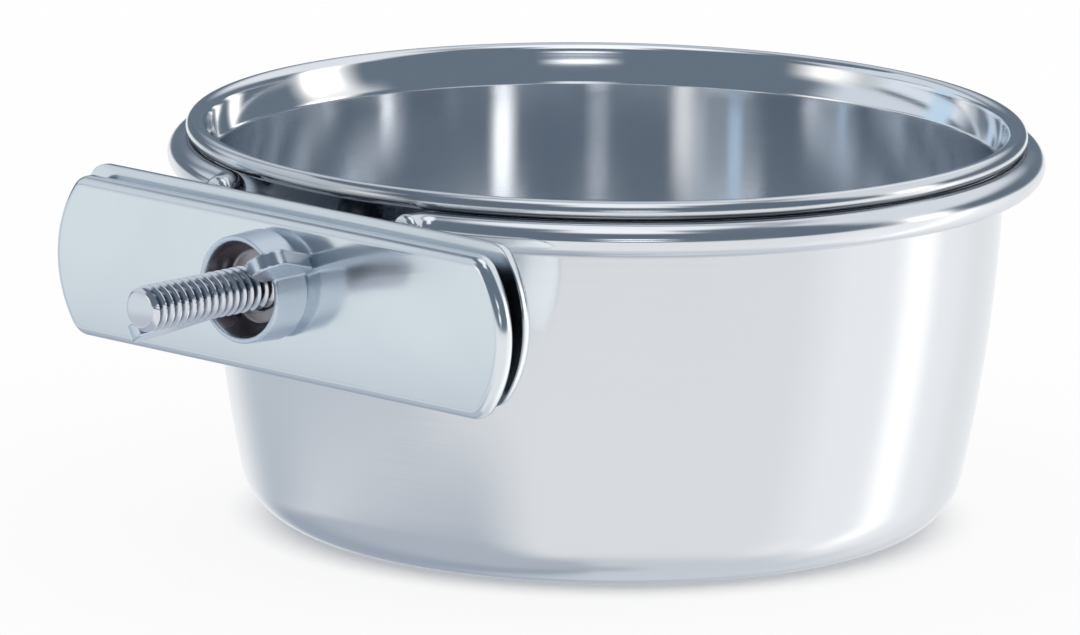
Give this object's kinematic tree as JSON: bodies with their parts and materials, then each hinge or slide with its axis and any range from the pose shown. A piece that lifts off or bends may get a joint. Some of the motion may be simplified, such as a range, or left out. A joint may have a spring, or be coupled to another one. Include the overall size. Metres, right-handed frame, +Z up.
{
  "type": "clamp-on seed cup",
  "caption": "Drawn steel seed cup that hangs by its rolled rim in a wire ring, with a screw clamp of jaw plates and a wing nut that grips cage bars.",
  "frame": {"origin": "middle of the cup's flat base, on the surface that it stands on", "axes": "+Z up along the cup's axis, -Y out of the cup along the clamp's bolt, towards the wing nut"},
  "size_m": [0.0928, 0.1163, 0.0427],
  "materials": {
    "cup_steel": "satin drawn stainless, faintly brushed round the axis",
    "ring_plating": "bright plated wire",
    "weld_steel": "plated weld, duller than the wire",
    "plate_plating": "mirror bright",
    "bolt_plating": "bright zinc",
    "nut_plating": "nickel, slightly soft from the casting"
  },
  "bodies": {
    "holder": {"ring_wire": "ring_plating", "ring_weld_left": "weld_steel", "ring_weld_right": "weld_steel", "rear_plate": "plate_plating", "clamp_bolt": "bolt_plating"},
    "cup": {"cup": "cup_steel"},
    "front_jaw": {"front_plate": "plate_plating"},
    "nut": {"wing_nut": "nut_plating"}
  },
  "joints": [
    {"name": "cup_lift", "type": "slide", "parent": "holder", "child": "cup", "axis": [0, 0, 1], "range_m": [0, 0.045]},
    {"name": "jaw_slide", "type": "slide", "parent": "holder", "child": "front_jaw", "axis": [0, -1, 0], "range_m": [-0.0014, 0.0125]},
    {"name": "nut_turn", "type": "hinge", "parent": "front_jaw", "child": "nut", "pos_m": [0, -0.0504, 0.0323], "axis": [0, -1, 0], "range_deg": [-476, 4250]}
  ],
  "couplings": [
    {"joint": "jaw_slide", "follows": "nut_turn", "m_per_rad": 0.00016844}
  ]
}
